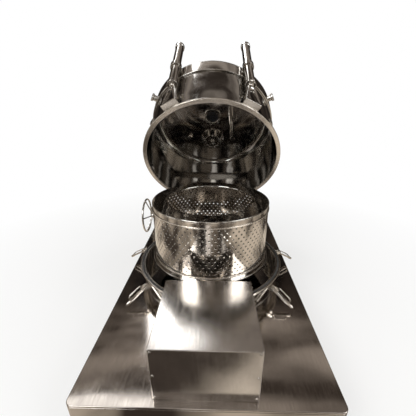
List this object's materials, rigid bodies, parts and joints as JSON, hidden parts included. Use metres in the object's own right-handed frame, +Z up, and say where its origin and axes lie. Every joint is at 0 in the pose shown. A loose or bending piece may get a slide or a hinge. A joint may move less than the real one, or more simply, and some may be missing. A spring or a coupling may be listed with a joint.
{
  "type": "screen centrifuge",
  "caption": "Plate-mounted basket centrifuge with a perforated drum, a flip-open upper casing and toggle latches.",
  "frame": {"origin": "on the floor, on the drum's axis", "axes": "+Z up along the drum's axis, -Y to the front where the motor cover stands, +X to the right"},
  "size_m": [1.3411, 1.969, 1.968],
  "materials": {
    "mirror_steel": "mirror polished",
    "screen_steel": "polished screen",
    "deck_steel": "polished sheet",
    "satin_steel": "satin",
    "damper_shell": "satin",
    "gasket_rubber": "pale silicone",
    "sight_pane": "clear"
  },
  "bodies": {
    "root": {"bearing_housing": "satin_steel", "casing_floor": "mirror_steel", "casing_rim": "mirror_steel", "casing_wall": "mirror_steel", "damper_back_left": "damper_shell", "damper_back_right": "damper_shell", "damper_front_left": "damper_shell", "damper_front_right": "damper_shell", "deck_frame": "deck_steel", "deck_plate": "deck_steel", "filtrate_outlet": "mirror_steel", "gearbox": "satin_steel", "hinge_post_left": "satin_steel", "hinge_post_right": "satin_steel", "latch_bracket_front_left": "mirror_steel", "latch_bracket_front_right": "mirror_steel", "latch_bracket_side_left": "mirror_steel", "latch_bracket_side_right": "mirror_steel", "motor_cover": "deck_steel", "rim_gasket": "gasket_rubber"},
    "drum": {"spindle": "mirror_steel", "drum_floor": "mirror_steel", "drum_wall": "screen_steel", "drum_hoops": "mirror_steel", "drum_lip": "mirror_steel", "drum_hub": "mirror_steel", "hub_nut": "mirror_steel"},
    "lid": {"lid_wall": "mirror_steel", "lid_rim": "mirror_steel", "lid_top": "mirror_steel", "lid_collar": "mirror_steel", "hinge_arm_left": "mirror_steel", "hinge_arm_right": "mirror_steel", "hinge_shaft": "mirror_steel", "lid_lugs": "mirror_steel", "sight_frame": "mirror_steel", "sight_glass": "sight_pane", "wash_cone": "mirror_steel", "wash_knob": "mirror_steel", "feed_pipe": "mirror_steel", "lid_fittings": "mirror_steel", "lock_cylinder_left": "mirror_steel", "lock_cylinder_right": "mirror_steel", "cylinder_stand_left": "mirror_steel", "cylinder_stand_right": "mirror_steel", "cylinder_clamp_left": "mirror_steel", "cylinder_clamp_right": "mirror_steel"},
    "handwheel": {"handwheel": "mirror_steel"},
    "lever_front_left": {"latch_lever_front_left": "mirror_steel"},
    "bail_front_left": {"latch_bail_front_left": "mirror_steel"},
    "lever_front_right": {"latch_lever_front_right": "mirror_steel"},
    "bail_front_right": {"latch_bail_front_right": "mirror_steel"},
    "lever_side_left": {"latch_lever_side_left": "mirror_steel"},
    "bail_side_left": {"latch_bail_side_left": "mirror_steel"},
    "lever_side_right": {"latch_lever_side_right": "mirror_steel"},
    "bail_side_right": {"latch_bail_side_right": "mirror_steel"}
  },
  "joints": [
    {"name": "drum_spin", "type": "hinge", "parent": "root", "child": "drum", "pos_m": [0, 0, 0.48], "axis": [0, 0, 1], "continuous": true},
    {"name": "lid_hinge", "type": "hinge", "parent": "root", "child": "lid", "pos_m": [0, 0.722, 0.538], "axis": [1, 0, 0], "range_deg": [0, 58]},
    {"name": "handwheel_turn", "type": "hinge", "parent": "root", "child": "handwheel", "pos_m": [-0.668, 0.722, 0.45], "axis": [1, 0, 0], "range_deg": [0, 870]},
    {"name": "lever_front_left_turn", "type": "hinge", "parent": "root", "child": "lever_front_left", "pos_m": [-0.42053, -0.34666, 0.404], "axis": [-0.6361, 0.7716, 0], "range_deg": [0, 110]},
    {"name": "bail_front_left_turn", "type": "hinge", "parent": "lever_front_left", "child": "bail_front_left", "pos_m": [-0.43586, -0.35929, 0.40639], "axis": [-0.6361, 0.7716, 0], "range_deg": [0, 25]},
    {"name": "lever_front_right_turn", "type": "hinge", "parent": "root", "child": "lever_front_right", "pos_m": [0.42053, -0.34666, 0.404], "axis": [-0.6361, -0.7716, 0], "range_deg": [0, 110]},
    {"name": "bail_front_right_turn", "type": "hinge", "parent": "lever_front_right", "child": "bail_front_right", "pos_m": [0.43586, -0.35929, 0.40639], "axis": [-0.6361, -0.7716, 0], "range_deg": [0, 25]},
    {"name": "lever_side_left_turn", "type": "hinge", "parent": "root", "child": "lever_side_left", "pos_m": [-0.53406, 0.10866, 0.404], "axis": [0.1994, 0.9799, 0], "range_deg": [0, 110]},
    {"name": "bail_side_left_turn", "type": "hinge", "parent": "lever_side_left", "child": "bail_side_left", "pos_m": [-0.55352, 0.11261, 0.40639], "axis": [0.1994, 0.9799, 0], "range_deg": [0, 25]},
    {"name": "lever_side_right_turn", "type": "hinge", "parent": "root", "child": "lever_side_right", "pos_m": [0.53406, 0.10866, 0.404], "axis": [0.1994, -0.9799, 0], "range_deg": [0, 110]},
    {"name": "bail_side_right_turn", "type": "hinge", "parent": "lever_side_right", "child": "bail_side_right", "pos_m": [0.55352, 0.11261, 0.40639], "axis": [0.1994, -0.9799, 0], "range_deg": [0, 25]}
  ],
  "couplings": [
    {"joint": "handwheel_turn", "follows": "lid_hinge", "ratio": 15}
  ]
}
